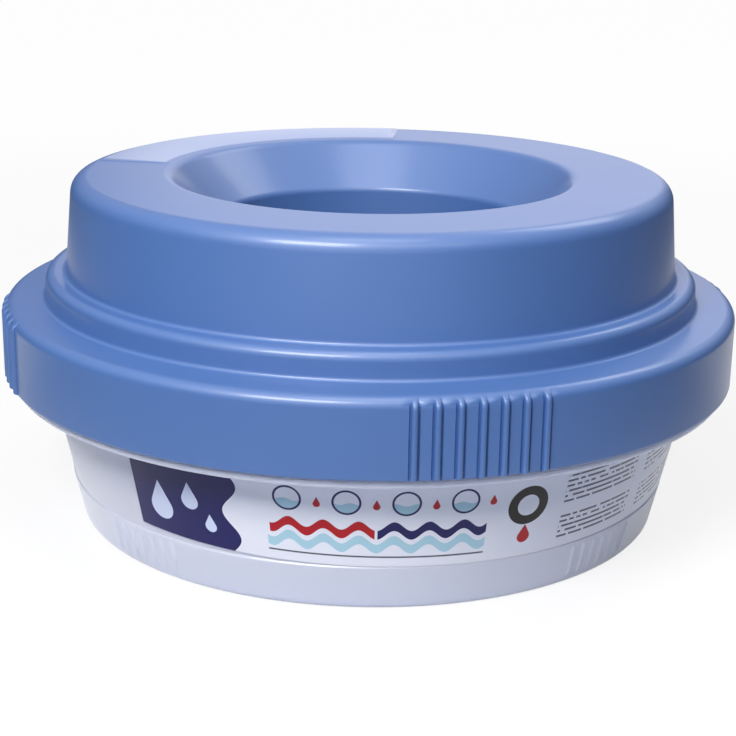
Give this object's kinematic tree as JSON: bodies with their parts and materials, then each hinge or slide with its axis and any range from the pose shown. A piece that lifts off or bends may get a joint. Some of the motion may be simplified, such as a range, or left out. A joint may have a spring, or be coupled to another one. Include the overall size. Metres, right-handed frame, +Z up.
{
  "type": "spill-proof dog water bowl",
  "caption": "Round spill-proof pet water bowl: translucent lower bowl, inner funnel insert and a blue screw lid with a funnel throat that traps the water when the bowl is tilted.",
  "frame": {"origin": "centre of the base, on the plane the foot ring stands on", "axes": "+Z up along the bowl's axis, -Y towards the front, where the label's middle part faces, +X to the right of the front"},
  "size_m": [0.3012, 0.3012, 0.1395],
  "materials": {
    "bowl_plastic": "translucent natural plastic, satin, pale lavender",
    "label_paper": "white coated paper with printed blocks",
    "insert_plastic": "translucent natural plastic, satin",
    "seal_rubber": "soft grey silicone",
    "lid_plastic": "satin blue moulded plastic"
  },
  "bodies": {
    "bowl": {"bowl": "bowl_plastic", "label": "label_paper"},
    "seal": {"seal_ring": "seal_rubber"},
    "lid": {"lid": "lid_plastic"},
    "insert": {"insert_funnel": "insert_plastic"}
  },
  "joints": [
    {"name": "lid_turn", "type": "hinge", "parent": "seal", "child": "lid", "pos_m": [0, 0, 0.0876], "axis": [0, 0, 1], "range_deg": [0, 1350]},
    {"name": "lid_lift", "type": "slide", "parent": "bowl", "child": "seal", "axis": [0, 0, 1], "range_m": [0, 0.1201]},
    {"name": "insert_lift", "type": "slide", "parent": "bowl", "child": "insert", "axis": [0, 0, 1], "range_m": [0, 0.0721]}
  ],
  "couplings": [
    {"joint": "lid_lift", "follows": "lid_turn", "m_per_rad": 0.005093},
    {"joint": "insert_lift", "follows": "lid_turn", "m_per_rad": 0.0030558}
  ]
}
